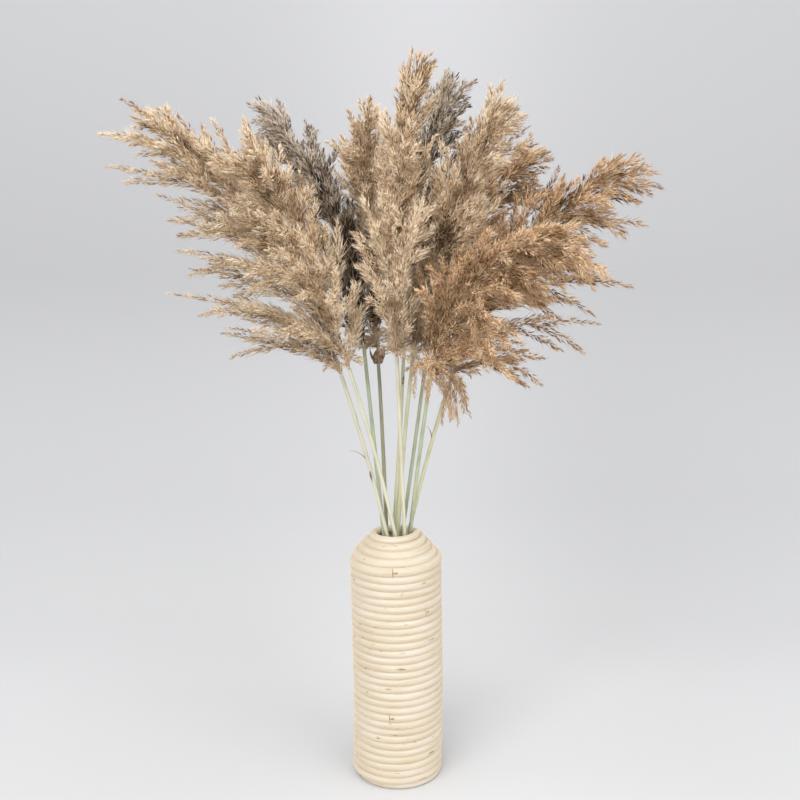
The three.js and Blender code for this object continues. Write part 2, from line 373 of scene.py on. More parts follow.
def rod_tree():
    """A rod along every line, as thick as its points say, with its grain laid out straight."""
    sockets = {"Geometry": "Geometry", "Sides": "Int", "Material": "Material"}
    tree, given, out = geometry_tree("rod", sockets)
    radius = add(tree, "GeometryNodeInputNamedAttribute", {"Name": "thick"}, data_type="FLOAT")
    curve = add(tree, "GeometryNodeMeshToCurve", {"Mesh": given["Geometry"]})
    place = add(tree, "GeometryNodeSplineParameter")
    length = add(tree, "GeometryNodeCaptureAttribute", {"Geometry": curve.outputs[0]})
    length.capture_items.new("FLOAT", "Length")
    tree.links.new(place.outputs["Length"], length.inputs[1])
    thick = add(
        tree,
        "GeometryNodeSetCurveRadius",
        {"Curve": length.outputs[0], "Radius": radius.outputs["Attribute"]},
    )
    circle = add(tree, "GeometryNodeCurvePrimitiveCircle", {"Resolution": given["Sides"], "Radius": 1})
    around = add(tree, "GeometryNodeCaptureAttribute", {"Geometry": circle.outputs[0]})
    around.capture_items.new("FLOAT", "Turn")
    tree.links.new(place.outputs["Factor"], around.inputs[1])
    rod = add(
        tree,
        "GeometryNodeCurveToMesh",
        {"Curve": thick.outputs[0], "Profile Curve": around.outputs[0], "Fill Caps": True},
    )
    if "Scale" in rod.inputs:
        tree.links.new(radius.outputs["Attribute"], rod.inputs["Scale"])
    angle = add(tree, "ShaderNodeMath", {0: around.outputs[1], 1: math.tau}, operation="MULTIPLY")
    east = add(tree, "ShaderNodeMath", {0: angle.outputs[0]}, operation="COSINE")
    north = add(tree, "ShaderNodeMath", {0: angle.outputs[0]}, operation="SINE")
    size = radius.outputs["Attribute"]
    east = add(tree, "ShaderNodeMath", {0: east.outputs[0], 1: size}, operation="MULTIPLY")
    north = add(tree, "ShaderNodeMath", {0: north.outputs[0], 1: size}, operation="MULTIPLY")
    straight = add(
        tree,
        "ShaderNodeCombineXYZ",
        {"X": east.outputs[0], "Y": north.outputs[0], "Z": length.outputs[1]},
    )
    stored = add(
        tree,
        "GeometryNodeStoreNamedAttribute",
        {"Geometry": rod.outputs[0], "Name": "grain", "Value": straight.outputs[0]},
        data_type="FLOAT_VECTOR",
        domain="POINT",
    )
    smooth = add(tree, "GeometryNodeSetShadeSmooth", {"Geometry": stored.outputs[0]})
    real = add(tree, "GeometryNodeRealizeInstances", {"Geometry": smooth.outputs[0]})
    done = add(
        tree, "GeometryNodeSetMaterial", {"Geometry": real.outputs[0], "Material": given["Material"]}
    )
    tree.links.new(done.outputs[0], out[0])
    return tree


def bristle_tree():
    """Slim closed bristles all along every line, leaning out and on towards the line's end."""
    sockets = {"Geometry": "Geometry", "Points": "Int"}
    sockets.update({k: "Float" for k in ("Spacing", "Length", "Thickness", "Belly", "Scatter")})
    sockets.update({"Least Lean": "Float", "Most Lean": "Float", "Seed": "Int", "Material": "Material"})
    tree, given, out = geometry_tree("bristles", sockets)

    # One bristle: three faces on to its tip, and with three points, three more up to its belly
    line = add(tree, "GeometryNodeCurvePrimitiveLine", {"Start": (0, 0, 0), "End": (0, 0, 1)})
    spine = add(tree, "GeometryNodeResampleCurve", {"Curve": line.outputs[0], "Count": given["Points"]})
    index = add(tree, "GeometryNodeInputIndex")
    widest = add(tree, "ShaderNodeMath", {0: given["Points"], 1: 2}, operation="SUBTRACT")
    middle = add(
        tree,
        "FunctionNodeCompare",
        {2: index.outputs[0], 3: widest.outputs[0]},
        data_type="INT",
        operation="EQUAL",
    )
    belly = add(tree, "ShaderNodeCombineXYZ", {"Z": given["Belly"]})
    shaped = add(
        tree,
        "GeometryNodeSetPosition",
        {"Geometry": spine.outputs[0], "Selection": middle.outputs[0], "Position": belly.outputs[0]},
    )
    ring = add(tree, "GeometryNodeCurvePrimitiveCircle", {"Resolution": 3, "Radius": 0.5})
    width = add(tree, "ShaderNodeMath", {0: middle.outputs[0], 1: 1}, operation="MULTIPLY")
    thick = add(
        tree,
        "GeometryNodeSetCurveRadius",
        {"Curve": shaped.outputs[0], "Radius": width.outputs[0]},
    )
    skin = add(
        tree,
        "GeometryNodeCurveToMesh",
        {"Curve": thick.outputs[0], "Profile Curve": ring.outputs[0], "Fill Caps": True},
    )
    if "Scale" in skin.inputs:
        tree.links.new(width.outputs[0], skin.inputs["Scale"])
    merged = add(tree, "GeometryNodeMergeByDistance", {"Geometry": skin.outputs[0], "Distance": 1e-4})
    bristle = add(tree, "GeometryNodeSetShadeSmooth", {"Geometry": merged.outputs[0]})

    # Where bristles are rooted: scattered across the branch's girth
    girth = add(tree, "GeometryNodeInputNamedAttribute", {"Name": "girth"}, data_type="FLOAT")
    shade = add(tree, "GeometryNodeInputNamedAttribute", {"Name": "shade"}, data_type="FLOAT")
    curve = add(tree, "GeometryNodeMeshToCurve", {"Mesh": given["Geometry"]})
    points = add(
        tree,
        "GeometryNodeCurveToPoints",
        {"Curve": curve.outputs[0], "Length": given["Spacing"]},
        mode="LENGTH",
    )
    turn = add(
        tree, "FunctionNodeRandomValue", {2: 0, 3: math.tau, "Seed": given["Seed"]}, data_type="FLOAT"
    )
    seed = add(tree, "ShaderNodeMath", {0: given["Seed"], 1: 1}, operation="ADD")
    out_share = add(
        tree, "FunctionNodeRandomValue", {2: 0, 3: 1, "Seed": seed.outputs[0]}, data_type="FLOAT"
    )
    even = add(tree, "ShaderNodeMath", {0: out_share.outputs[1], 1: 0.5}, operation="POWER")
    spread = add(tree, "ShaderNodeMath", {0: even.outputs[0], 1: given["Scatter"]}, operation="MULTIPLY")
    off = add(tree, "ShaderNodeMath", {0: spread.outputs[0], 1: girth.outputs[0]}, operation="MULTIPLY")
    straight_off = add(tree, "ShaderNodeCombineXYZ", {"X": off.outputs[0]})
    round_axis = add(tree, "ShaderNodeCombineXYZ", {"Z": turn.outputs[1]})
    swung = add(tree, "FunctionNodeEulerToRotation", {0: round_axis.outputs[0]})
    on_branch = add(
        tree,
        "FunctionNodeRotateRotation",
        {0: points.outputs["Rotation"], 1: swung.outputs[0]},
        rotation_space="LOCAL",
    )
    offset = add(tree, "FunctionNodeRotateVector", {0: straight_off.outputs[0], 1: on_branch.outputs[0]})
    scattered = add(
        tree, "GeometryNodeSetPosition", {"Geometry": points.outputs[0], "Offset": offset.outputs[0]}
    )

    # Clumps
    place = add(tree, "GeometryNodeInputPosition")
    lumps = add(
        tree,
        "ShaderNodeTexNoise",
        {"Vector": place.outputs[0], "Scale": 1 / (CLUMP * MM), "Detail": 0.5},
    )
    clump = add(
        tree,
        "ShaderNodeMapRange",
        {"Value": lumps.outputs["Fac"], "From Min": CLUMP_EDGE[0], "From Max": CLUMP_EDGE[1]},
    )
    kept = add(
        tree,
        "ShaderNodeMapRange",
        {"Value": clump.outputs[0], "To Min": CLUMP_SHARE[0], "To Max": CLUMP_SHARE[1]},
    )
    grows = add(
        tree,
        "FunctionNodeRandomValue",
        {"Probability": kept.outputs[0], "Seed": given["Seed"]},
        data_type="BOOLEAN",
    )
    swell = add(
        tree,
        "ShaderNodeMapRange",
        {"Value": clump.outputs[0], "To Min": CLUMP_SIZE[0], "To Max": CLUMP_SIZE[1]},
    )

    # Lean and size
    seed = add(tree, "ShaderNodeMath", {0: given["Seed"], 1: 2}, operation="ADD")
    lean = add(
        tree,
        "FunctionNodeRandomValue",
        {2: given["Least Lean"], 3: given["Most Lean"], "Seed": seed.outputs[0]},
        data_type="FLOAT",
    )
    leaned = add(tree, "ShaderNodeCombineXYZ", {"Y": lean.outputs[1]})
    tilt = add(tree, "FunctionNodeEulerToRotation", {0: leaned.outputs[0]})
    pose = add(
        tree,
        "FunctionNodeRotateRotation",
        {0: on_branch.outputs[0], 1: tilt.outputs[0]},
        rotation_space="LOCAL",
    )
    seed = add(tree, "ShaderNodeMath", {0: given["Seed"], 1: 3}, operation="ADD")
    size = add(
        tree,
        "FunctionNodeRandomValue",
        {2: BRISTLE_SIZE[0], 3: BRISTLE_SIZE[1], "Seed": seed.outputs[0]},
        data_type="FLOAT",
    )
    plump = add(
        tree,
        "ShaderNodeMapRange",
        {"Value": girth.outputs[0], "From Max": GIRTH * MM, "To Min": LEAST_PLUMP, "To Max": 1},
        clamp=False,
    )
    plump = add(tree, "ShaderNodeMath", {0: size.outputs[1], 1: plump.outputs[0]}, operation="MULTIPLY")
    plump = add(tree, "ShaderNodeMath", {0: plump.outputs[0], 1: swell.outputs[0]}, operation="MULTIPLY")
    long = add(tree, "ShaderNodeMath", {0: plump.outputs[0], 1: given["Length"]}, operation="MULTIPLY")
    wide = add(tree, "ShaderNodeMath", {0: plump.outputs[0], 1: given["Thickness"]}, operation="MULTIPLY")
    scale = add(
        tree, "ShaderNodeCombineXYZ", {"X": wide.outputs[0], "Y": wide.outputs[0], "Z": long.outputs[0]}
    )

    # Colour: the branch's own shade with a little of each bristle's
    seed = add(tree, "ShaderNodeMath", {0: given["Seed"], 1: 4}, operation="ADD")
    own = add(
        tree,
        "FunctionNodeRandomValue",
        {2: -BRISTLE_SHADE, 3: BRISTLE_SHADE, "Seed": seed.outputs[0]},
        data_type="FLOAT",
    )
    mixed = add(tree, "ShaderNodeMath", {0: shade.outputs[0], 1: own.outputs[1]}, operation="ADD")
    # painted light on the clumps and painted shade between them
    paler = add(
        tree,
        "ShaderNodeMapRange",
        {"Value": clump.outputs[0], "To Min": -CLUMP_SHADE / 2, "To Max": CLUMP_SHADE / 2},
    )
    mixed = add(tree, "ShaderNodeMath", {0: mixed.outputs[0], 1: paler.outputs[0]}, operation="ADD")
    tinted = add(
        tree,
        "GeometryNodeStoreNamedAttribute",
        {"Geometry": scattered.outputs[0], "Name": "shade", "Value": mixed.outputs[0]},
        data_type="FLOAT",
        domain="POINT",
    )
    placed = add(
        tree,
        "GeometryNodeInstanceOnPoints",
        {
            "Points": tinted.outputs[0],
            "Selection": grows.outputs[3],
            "Instance": bristle.outputs[0],
            "Rotation": pose.outputs[0],
            "Scale": scale.outputs[0],
        },
    )
    real = add(tree, "GeometryNodeRealizeInstances", {"Geometry": placed.outputs[0]})
    done = add(
        tree, "GeometryNodeSetMaterial", {"Geometry": real.outputs[0], "Material": given["Material"]}
    )
    tree.links.new(done.outputs[0], out[0])
    return tree


def plume_tree(rods, bristles):
    """A plume from its branches' lines: the twigs, their spikelets and their silk."""
    sockets = {"Geometry": "Geometry", "Seed": "Int"}
    sockets.update({f"{part} Material": "Material" for part in ("Twig", "Spikelet", "Silk")})
    tree, given, out = geometry_tree("plume", sockets)
    parts = [
        add(
            tree,
            "GeometryNodeGroup",
            {"Geometry": given["Geometry"], "Sides": 3, "Material": given["Twig Material"]},
            node_tree=rods,
        )
    ]
    kinds = (("Spikelet Material", SPIKELET, SPIKELET_LEAN), ("Silk Material", SILK, SILK_LEAN))
    for step, (material, sizes, lean) in enumerate(kinds):
        seed = add(tree, "ShaderNodeMath", {0: given["Seed"], 1: 10 * step}, operation="ADD")
        values = {"Geometry": given["Geometry"], "Seed": seed.outputs[0], "Material": given[material]}
        for key, size in sizes.items():
            values[key] = size * MM if key in ("Spacing", "Length", "Thickness") else size
        values["Least Lean"] = math.radians(lean[0])
        values["Most Lean"] = math.radians(lean[1])
        parts.append(add(tree, "GeometryNodeGroup", values, node_tree=bristles))
    joined = add(tree, "GeometryNodeJoinGeometry")
    for part in parts:
        tree.links.new(part.outputs[0], joined.inputs[0])
    tree.links.new(joined.outputs[0], out[0])
    return tree


# Materials


def finish(name):
    """A new material, its tree and its output node."""
    material = bpy.data.materials.new(name)
    material.use_nodes = True
    tree = material.node_tree
    tree.nodes.clear()
    return material, tree, add(tree, "ShaderNodeOutputMaterial")


def plume_finish(name, deep, dark, middle, pale):
    """Dried plume: dull and soft, with light that glows through its thin husks."""
    material, tree, out = finish(name)
    shade = add(tree, "ShaderNodeAttribute", attribute_name="shade")
    ramp = add(tree, "ShaderNodeValToRGB", {"Fac": shade.outputs["Fac"]})
    ramp.color_ramp.elements[0].color = linear(deep)
    ramp.color_ramp.elements[1].color = linear(pale)
    ramp.color_ramp.elements.new(MIDDLE_TONES[0]).color = linear(dark)
    ramp.color_ramp.elements.new(MIDDLE_TONES[1]).color = linear(middle)
    colour = ramp.outputs["Color"]
    husk = add(
        tree,
        "ShaderNodeBsdfPrincipled",
        {"Base Color": colour, "Roughness": 0.75, "Specular IOR Level": 0.25},
    )
    glow = add(tree, "ShaderNodeBsdfTranslucent", {"Color": colour})
    mix = add(tree, "ShaderNodeMixShader", {0: GLOW, 1: husk.outputs[0], 2: glow.outputs[0]})
    tree.links.new(mix.outputs[0], out.inputs["Surface"])
    return material


def stalk_finish(name, pale, dark):
    """Dried culm: smooth and slightly waxy, with fine streaks along it."""
    material, tree, out = finish(name)
    grain = add(tree, "ShaderNodeAttribute", attribute_name="grain")
    width, drawn_out = CULM_STREAK
    streaks = add(
        tree, "ShaderNodeMapping", {"Vector": grain.outputs["Vector"], "Scale": (1, 1, drawn_out)}
    )
    fine = add(
        tree, "ShaderNodeTexNoise", {"Vector": streaks.outputs[0], "Scale": 1 / (width * MM), "Detail": 3}
    )
    patches = add(
        tree,
        "ShaderNodeTexNoise",
        {"Vector": grain.outputs["Vector"], "Scale": 1 / (CULM_PATCH * MM), "Detail": 2},
    )
    both = add(
        tree, "ShaderNodeMath", {0: fine.outputs["Fac"], 1: patches.outputs["Fac"]}, operation="ADD"
    )
    ramp = add(tree, "ShaderNodeValToRGB", {"Fac": both.outputs[0]})
    ramp.color_ramp.elements[0].position = 0.75
    ramp.color_ramp.elements[0].color = linear(dark)
    ramp.color_ramp.elements[1].color = linear(pale)
    skin = add(tree, "ShaderNodeBsdfPrincipled", {"Base Color": ramp.outputs[0], "Roughness": 0.5})
    tree.links.new(skin.outputs[0], out.inputs["Surface"])
    return material


def cane_finish():
    """Peeled and bleached round cane: creamy and dull, with open fibres along it."""
    material, tree, out = finish("bleached_cane")
    grain = add(tree, "ShaderNodeAttribute", attribute_name="grain")
    width, drawn_out = CANE_FIBRE
    along = add(tree, "ShaderNodeMapping", {"Vector": grain.outputs["Vector"], "Scale": (1, 1, drawn_out)})
    fibre = add(
        tree, "ShaderNodeTexNoise", {"Vector": along.outputs[0], "Scale": 1 / (width * MM), "Detail": 4}
    )
    slow = add(
        tree,
        "ShaderNodeTexNoise",
        {"Vector": grain.outputs["Vector"], "Scale": 1 / (CANE_STAIN * MM), "Detail": 3},
    )
    both = add(
        tree,
        "ShaderNodeMath",
        {0: fibre.outputs["Fac"], 1: slow.outputs["Fac"]},
        operation="ADD",
    )
    half = add(tree, "ShaderNodeMath", {0: both.outputs[0], 1: 0.5}, operation="MULTIPLY")
    ramp = add(tree, "ShaderNodeValToRGB", {"Fac": half.outputs[0]})
    ramp.color_ramp.elements[0].position = 0.36
    ramp.color_ramp.elements[0].color = linear("#b4a589")
    ramp.color_ramp.elements[1].position = 0.62
    ramp.color_ramp.elements[1].color = linear("#c4bbae")
    bump = add(
        tree, "ShaderNodeBump", {"Height": fibre.outputs["Fac"], "Strength": 0.25, "Distance": 0.2 * MM}
    )
    width, drawn_out = CANE_SCAR
    dashes = add(tree, "ShaderNodeMapping", {"Vector": grain.outputs["Vector"], "Scale": (1, 1, drawn_out)})
    specks = add(
        tree, "ShaderNodeTexNoise", {"Vector": dashes.outputs[0], "Scale": 1 / (width * MM), "Detail": 1}
    )
    scar = add(
        tree,
        "ShaderNodeMapRange",
        {"Value": specks.outputs["Fac"], "From Min": SCAR_EDGE[0], "From Max": SCAR_EDGE[1]},
    )
    scarred = add(
        tree,
        "ShaderNodeMix",
        {"Factor": scar.outputs[0], "A": ramp.outputs[0], "B": linear("#8d7350")},
        data_type="RGBA",
    )
    wood = add(
        tree,
        "ShaderNodeBsdfPrincipled",
        {
            "Base Color": scarred.outputs[2],
            "Roughness": 0.65,
            "Sheen Weight": 0.7,
            "Sheen Roughness": 0.5,
            "Sheen Tint": linear("#efd9b4"),
            "Normal": bump.outputs[0],
        },
    )
    tree.links.new(wood.outputs[0], out.inputs["Surface"])
    return material


def stage_finish():
    """Matt pale grey paper with painted shade that darkens it as it goes back and rises, and a painted pool
    of light behind the vase.

    The camera looks through its back, so that it hides nothing in views from behind.
    """
    material, tree, out = finish("paper_sweep")
    place = add(tree, "ShaderNodeTexCoord")
    parts = add(tree, "ShaderNodeSeparateXYZ", {0: place.outputs["Object"]})
    far = add(tree, "ShaderNodeMath", {0: parts.outputs["Y"], 1: parts.outputs["Z"]}, operation="ADD")
    # painted shade, darker as the paper goes back and up
    share = add(
        tree,
        "ShaderNodeMapRange",
        {"Value": far.outputs[0], "From Min": PAPER_REACH[0], "From Max": PAPER_REACH[1]},
    )
    ramp = add(tree, "ShaderNodeValToRGB", {"Fac": share.outputs[0]})
    ramp.color_ramp.elements[0].color = linear(PAPER_ENDS[0])
    ramp.color_ramp.elements[1].color = linear(PAPER_ENDS[1])
    for at, tone in PAPER_TONES.items():
        ramp.color_ramp.elements.new(at).color = linear(tone)
    # painted pool of light, palest about the middle from side to side
    aside = add(tree, "ShaderNodeMath", {0: parts.outputs["X"], 1: LIGHT_POOL_MIDDLE}, operation="SUBTRACT")
    aside = add(tree, "ShaderNodeMath", {0: aside.outputs[0], 1: LIGHT_POOL_REACH}, operation="DIVIDE")
    square = add(tree, "ShaderNodeMath", {0: aside.outputs[0], 1: 2}, operation="POWER")
    fall = add(tree, "ShaderNodeMath", {0: square.outputs[0], 1: -0.5}, operation="MULTIPLY")
    near = add(tree, "ShaderNodeMath", {0: fall.outputs[0]}, operation="EXPONENT")
    gain = add(tree, "ShaderNodeMath", {0: near.outputs[0], 1: LIGHT_POOL_GAIN, 2: 1}, operation="MULTIPLY_ADD")
    tone = add(
        tree, "ShaderNodeVectorMath", {0: ramp.outputs[0], "Scale": gain.outputs[0]}, operation="SCALE"
    )
    paper = add(tree, "ShaderNodeBsdfPrincipled", {"Base Color": tone.outputs[0], "Roughness": 0.9})
    ray = add(tree, "ShaderNodeLightPath")
    face = add(tree, "ShaderNodeNewGeometry")
    clear = add(
        tree,
        "ShaderNodeMath",
        {0: ray.outputs["Is Camera Ray"], 1: face.outputs["Backfacing"]},
        operation="MULTIPLY",
    )
    nothing = add(tree, "ShaderNodeBsdfTransparent")
    seen = add(
        tree, "ShaderNodeMixShader", {0: clear.outputs[0], 1: paper.outputs[0], 2: nothing.outputs[0]}
    )
    tree.links.new(seen.outputs[0], out.inputs["Surface"])
    return material


# Vase


def cane_fit(turn):
    """Thickness of the cane at these turns, as a share of its own, which is left at both ends."""
    return 1 + (CANE_FIT - 1) * np.clip(np.minimum(turn, (LAST_TURN - turn) / 2), 0, 1)


def wound_cane(turn):
    """Middle of the cane at these turns, from the floor's centre up the wall to the mouth."""
    floor = np.clip(-turn, 0, None)
    wall = np.clip(turn, 0, BODY_TURNS - 1)
    shoulder = np.clip(turn - BODY_TURNS + 1, 0, None)
    radius = WOUND_RADIUS - CANE * floor - SHOULDER_STEP * math.sin(SHOULDER_LEAN) * shoulder
    height = CANE / 2 + CANE * wall + SHOULDER_STEP * math.cos(SHOULDER_LEAN) * shoulder
    angle = math.tau * turn
    wander = sum(np.sin(waves * angle + start) for waves, start in CANE_SWINGS) / len(CANE_SWINGS)
    radius = radius + CANE_UNEVEN * wander - CANE / 2 * (cane_fit(turn) - 1)
    height = height + np.where(turn > 1, CANE_UNEVEN * np.sin(CANE_LIFTS * angle) / 2, 0)
    aside = SWAY * np.sin(math.tau * height / SWAY_HEIGHT) * np.clip(turn, 0, 1)
    return np.stack([radius * np.cos(angle) + aside, radius * np.sin(angle), height], axis=1)


def vase(rods, cane):
    """The vase: lengths of cane wound end to end, a hair apart where one stops."""
    ends = [-FLOOR_TURNS, *CANE_JOINTS, LAST_TURN]
    gap = JOINT_GAP / (math.tau * WOUND_RADIUS)
    lines = []
    widths = []
    for start, end in zip(ends, ends[1:]):
        turn = np.linspace(start + gap / 2, end - gap / 2, round((end - start) * STEPS_A_TURN))
        lines.append(wound_cane(turn))
        uneven = 1 + CANE_THIN * np.sin(CANE_THIN_WAVES * math.tau * turn)
        widths.append(CANE / 2 * MM * cane_fit(turn) * uneven)
    mesh = polylines("cane_lines", lines, {"thick": widths})
    piece = grown("cane_vase", mesh, rods, {"Sides": CANE_SIDES, "Material": cane})
    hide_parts("vase")
    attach(piece, "root")


# Stems


def on_ring(radius, angle, height):
    """A point at this angle and height round the vase's axis."""
    return np.array([radius * math.cos(angle), radius * math.sin(angle), height])


def bow(start, bend, end, shares):
    """Points and directions at these shares of an even curve with one bend."""
    t = np.asarray(shares, float)[:, None]
    points = (1 - t) ** 2 * start + 2 * t * (1 - t) * bend + t**2 * end
    ways = 2 * (1 - t) * (bend - start) + 2 * t * (end - bend)
    return points, ways / np.linalg.norm(ways, axis=1)[:, None]


def stalk_bend(stem):
    """Foot and bend of a stalk's curve, which passes its place in the mouth, as in the part."""
    side = math.radians(stem["side"])
    ring = stem.get("ring", MOUTH_RING)
    shoulder = SHOULDER_STEP * SHOULDER_TURNS * math.cos(SHOULDER_LEAN)
    mouth_height = CANE / 2 + CANE * (BODY_TURNS - 1) + shoulder
    foot = on_ring(ring / MOUTH_RING * FOOT_RING, side + FOOT_TURN, CANE + FOOT_LIFT)
    mouth = on_ring(ring, side + MOUTH_TURN, mouth_height)
    head = np.array(stem["base"], float)
    t = (mouth[2] - foot[2]) / (head[2] - foot[2])
    return foot, (mouth - (1 - t) ** 2 * foot - t**2 * head) / (2 * t * (1 - t)), head


def lay_out(stems):
    """Gives each stem its number, its two curves and the points that its axis is measured by."""
    shares = np.linspace(0, 1, AXIS_STEPS + 1)
    for number, stem in enumerate(stems, 1):
        foot, bend, base = stalk_bend(stem)
        tip = np.array(stem["tip"], float)
        way = unit(base - bend)
        stem["number"] = number
        stem.update(LOOKS[number - 1])
        stem["stalk"] = (foot, bend, base)
        stem["plume"] = (base, base + way * np.linalg.norm(tip - base) / 2, tip)
        stem["line"] = np.concatenate([bow(*stem["stalk"], shares)[0], bow(*stem["plume"], shares)[0]])


def keep_clear(point, radius, gap, stem):
    """The point drawn in towards its own stem until its ball is clear of the other plumes."""
    home = stem["line"][np.argmin(np.linalg.norm(stem["line"] - point, axis=1))]
    tries = home + (point - home) * (1 - np.arange(BEND_STEPS) / BEND_STEPS)[:, None]
    others = np.concatenate([s["line"] for s in STEMS if s is not stem])
    own = np.linalg.norm(tries[:, None] - stem["line"], axis=2).min(axis=1)
    other = np.linalg.norm(tries[:, None] - others, axis=2).min(axis=1)
    clear = np.flatnonzero(other - own > 2 * radius + gap)
    return tries[clear[0]] if len(clear) else home


def through(points, places, shares):
    """The smooth path through three points that lie at these places along it."""
    a, b, c = places
    t = np.asarray(shares)[:, None]
    return (
        points[0] * (t - b) * (t - c) / ((a - b) * (a - c))
        + points[1] * (t - a) * (t - c) / ((b - a) * (b - c))
        + points[2] * (t - a) * (t - b) / ((c - a) * (c - b))
    )


def branch_path(stem, k):
    """The middle line of branch k, as in the part, and its length."""
    number = stem["number"]
    share = (k + 0.5) / BRANCHES
    root, ahead = (v[0] for v in bow(*stem["plume"], [LAST_ROOT * share]))
    side = unit(np.array([-ahead[1], ahead[0], 0]))
    below = np.cross(side, ahead)
    turn = k * GOLDEN_ANGLE + ROOT_SPREAD * (2 * noise(k, number) - 1)
    spread = ANGLE_SPREAD * (noise(k + 0.5, number) - 0.5)
    wider, longer = (1 + more * math.sin(turn) for more in BELOW)
    angle = math.radians(lerp(stem["open"], TIP_ANGLE, share**ANGLE_FALL) + spread) * wider
    full = lerp(*BRANCH_LENGTH, share**LENGTH_FALL) * lerp(LOWEST[0], 1, min(share / LOWEST[1], 1))
    length = stem["reach"] * full * lerp(*LENGTH_SPREAD, noise(k, number + 0.5)) * longer
    way = ahead * math.cos(angle) + (side * math.cos(turn) + below * math.sin(turn)) * math.sin(angle)
    drop = stem["sag"] * length * math.hypot(way[0], way[1])
    gap = lerp(*PLUME_GAP, min(share / FULL_GAP, 1))
    points = []
    for along, radius in BRANCH_SHAPE:
        point = root + way * along * length
        point[2] -= drop * along**2
        points.append(point if along == 0 else keep_clear(point, radius, gap, stem))
    places = [along for along, radius in BRANCH_SHAPE]
    return through(points, places, np.linspace(0, 1, PATH_POINTS)), length


def side_path(path, length, share, turn, sag):
    """A side branch that leaves a branch's path at this share of it."""
    place = share * (PATH_POINTS - 1)
    i = int(place)
    root = lerp(path[i], path[i + 1], place - i)
    ahead = unit(path[i + 1] - path[i])
    side = unit(np.cross(ahead, ASKEW))
    up = np.cross(side, ahead)
    aside = side * math.cos(turn) + up * math.sin(turn)
    way = ahead * math.cos(SIDE_ANGLE) + aside * math.sin(SIDE_ANGLE)
    along = np.linspace(0, 1, PATH_POINTS)[:, None]
    reach = SIDE_LENGTH * length * (1 - SIDE_SHORTER * share)
    points = root + way * along * reach
    points[:, 2] -= sag * reach * math.hypot(way[0], way[1]) * along[:, 0] ** 2
    return points


def short_branch(stem, i, kind):
    """A short branch, which hangs from the plume, fills it out or paints shade on it."""
    number = stem["number"]
    root = bow(*stem["plume"], [lerp(*kind["up"], noise(i, number))])[0][0]
    turn = math.radians(kind["side"] + kind["spread"] * (noise(i + 0.3, number) - 0.5))
    length = lerp(*kind["length"], noise(i + 0.6, number))
    along = np.linspace(0, 1, PATH_POINTS)
    out = kind["out"] * along
    down = kind["down"][0] * along + kind["down"][1] * along**2
    return root + length * np.stack([out * math.cos(turn), out * math.sin(turn), -down], axis=1)


def wandering(k, number):
    """Small steps off a straight path, none at its root, up to half a unit each way at its tip."""
    steps = [[noise(k + 7 * p + q, number) - 0.5 for q in (0.3, 0.6, 0.9)] for p in range(PATH_POINTS)]
    return np.array(steps) * np.linspace(0, 1, PATH_POINTS)[:, None]


def girth_along(size):
    """Half width of a dressed branch at each point of its path."""
    t = np.linspace(0, 1, PATH_POINTS)
    end, roundness = GIRTH_FALL
    return size * np.minimum(1, GIRTH_ROOT + GIRTH_RISE * t) * (1 - t**end) ** roundness


def plume_lines(stem):
    """Every branch and side branch of a plume: lines, girths, twig radii and shades."""
    lines, girths, radii, shades = [], [], [], []
    taper = np.linspace(1, TWIG_TAPER, PATH_POINTS)
    least, of_branch, of_side, of_lump = OWN_SHADES
    for k in range(BRANCHES):
        path, length = branch_path(stem, k)
        family = noise(k + 0.25, stem["number"])
        paths = [(path, GIRTH)]
        for i, share in enumerate(SIDE_ROOTS):
            turn = math.tau * noise(k + 0.1 * i, stem["number"] + 0.7)
            paths.append((side_path(path, length, share, turn, stem["sag"]), GIRTH * SIDE_GIRTH))
        for i, (line, size) in enumerate(paths):
            lines.append(line + WANDER * wandering(k + i, stem["number"]))
            lump = np.array([noise(k + 3 * p + 0.15, i + stem["number"]) for p in range(PATH_POINTS)])
            girths.append(girth_along(size) * lerp(*GIRTH_UNEVEN, lump) * MM)
            radii.append(taper * TWIG_RADIUS * MM)
            own = least + of_branch * family + of_side * noise(k, i + 0.4) + of_lump * lump
            # painted shade where above nothing and painted light where below, from the plume's foot to its
            # tip
            dim = lerp(*stem["dim"], k / BRANCHES)
            along = np.linspace(SIDE_FROM if i else 0, 1, PATH_POINTS)
            # painted shade towards the branch's root, with some real darker colour
            darker = ROOT_SHADE * (1 - along) ** ROOT_SHADE_FALL
            shades.append(SHADE_RANGE[0] + SHADE_RANGE[1] * own - dim - darker)
    kinds = [kind for kind, count in stem["short"] for _ in range(count)]
    for i, kind in enumerate(kinds):
        lines.append(short_branch(stem, i, kind) + WANDER * wandering(i, stem["number"] + 0.5))
        girths.append(girth_along(kind["girth"]) * MM)
        radii.append(taper * TWIG_RADIUS * MM)
        shades.append(np.full(PATH_POINTS, kind["shade"]))
    shares = np.linspace(AXIS_START, AXIS_END, AXIS_POINTS)
    lines.append(bow(*stem["plume"], shares)[0])
    girths.append(np.interp(shares, *zip(*AXIS_GIRTH)) * MM)
    radii.append(np.linspace(STALK_HEAD_RADIUS, TWIG_RADIUS, AXIS_POINTS) * MM)
    # the same painted shade and light along the plume's axis
    shades.append(AXIS_SHADE - np.linspace(*stem["dim"], AXIS_POINTS))
    return lines, {"girth": girths, "thick": radii, "shade": shades}


def stalk_lines(stem):
    """A stalk's line with its radius, which swells at each joint."""
    points, _ = bow(*stem["stalk"], np.linspace(0, STALK_END, STALK_STEPS))
    run = np.concatenate([[0], np.cumsum(np.linalg.norm(np.diff(points, axis=0), axis=1))])
    first = JOINT_EVERY * noise(stem["number"], 0.3)
    from_joint = (run - first + JOINT_EVERY / 2) % JOINT_EVERY - JOINT_EVERY / 2
    swell = 1 + JOINT_SWELL * np.exp(-((from_joint / JOINT_LENGTH) ** 2))
    radius = SHEATH * swell * np.linspace(STALK_FOOT_RADIUS, STALK_HEAD_RADIUS, STALK_STEPS)
    return [points], {"thick": [radius * MM]}


